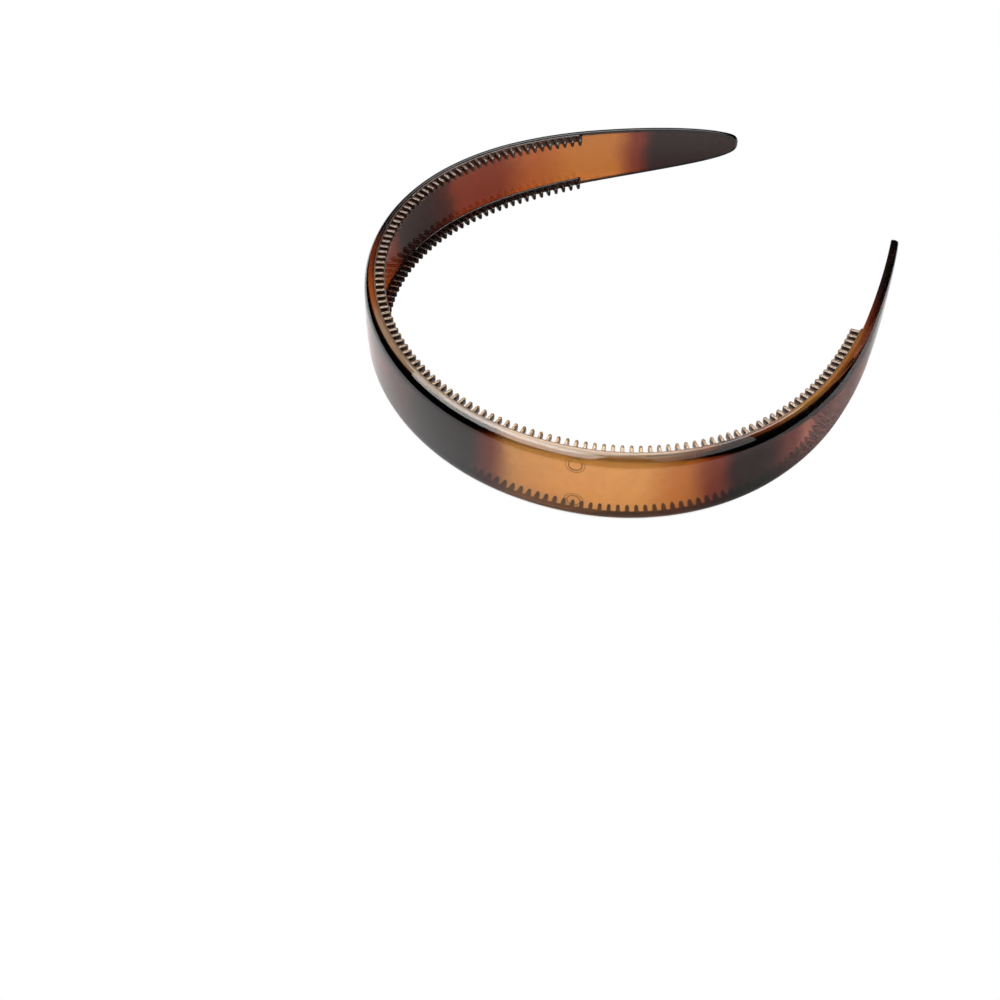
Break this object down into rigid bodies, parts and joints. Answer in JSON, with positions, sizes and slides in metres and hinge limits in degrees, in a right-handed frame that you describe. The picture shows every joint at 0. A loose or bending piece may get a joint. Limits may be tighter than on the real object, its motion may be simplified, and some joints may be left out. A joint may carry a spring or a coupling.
{
  "type": "headband",
  "caption": "Springy C-shaped comb headband in tinted translucent plastic, domed outside and flat inside, with a row of short teeth along each edge and smooth tapered ends.",
  "frame": {"origin": "centre of the bounding box's base, on the rear side edge that the band rests on", "axes": "+Z across the band's width from the rear edge to the front edge, +Y from the crown towards the two ends, +X to the right-hand arm"},
  "size_m": [0.134, 0.1435, 0.0228],
  "materials": {
    "band_plastic": "high gloss translucent amber with soft dark brown clouds",
    "comb_plastic": "glossy translucent amber",
    "dark_plastic": "high gloss, nearly opaque dark brown"
  },
  "bodies": {
    "crown": {"crown_band": "band_plastic", "crown_front_comb": "comb_plastic", "crown_rear_comb": "comb_plastic"},
    "left_shoulder": {"left_shoulder_band": "band_plastic", "left_shoulder_front_comb": "comb_plastic", "left_shoulder_rear_comb": "comb_plastic"},
    "left_arm": {"left_arm_band": "band_plastic", "left_tip": "dark_plastic", "left_arm_front_comb": "comb_plastic", "left_arm_rear_comb": "comb_plastic"},
    "right_shoulder": {"right_shoulder_band": "band_plastic", "right_shoulder_front_comb": "comb_plastic", "right_shoulder_rear_comb": "comb_plastic"},
    "right_arm": {"right_arm_band": "band_plastic", "right_tip": "dark_plastic", "right_arm_front_comb": "comb_plastic", "right_arm_rear_comb": "comb_plastic"}
  },
  "joints": [
    {"name": "left_shoulder_flex", "type": "hinge", "parent": "crown", "child": "left_shoulder", "pos_m": [-0.04439, -0.05626, 0.0114], "axis": [0, 0, 1], "range_deg": [0, 15], "stiffness_Nm_per_rad": 1.4},
    {"name": "left_arm_flex", "type": "hinge", "parent": "left_shoulder", "child": "left_arm", "pos_m": [-0.06551, 0.00635, 0.0114], "axis": [0, 0, 1], "range_deg": [0, 9], "stiffness_Nm_per_rad": 1.2},
    {"name": "right_shoulder_flex", "type": "hinge", "parent": "crown", "child": "right_shoulder", "pos_m": [0.04439, -0.05626, 0.0114], "axis": [0, 0, -1], "range_deg": [0, 15], "stiffness_Nm_per_rad": 1.4},
    {"name": "right_arm_flex", "type": "hinge", "parent": "right_shoulder", "child": "right_arm", "pos_m": [0.06551, 0.00635, 0.0114], "axis": [0, 0, -1], "range_deg": [0, 9], "stiffness_Nm_per_rad": 1.2}
  ],
  "couplings": [
    {"joint": "left_arm_flex", "follows": "left_shoulder_flex", "ratio": 0.6},
    {"joint": "right_arm_flex", "follows": "right_shoulder_flex", "ratio": 0.6}
  ]
}
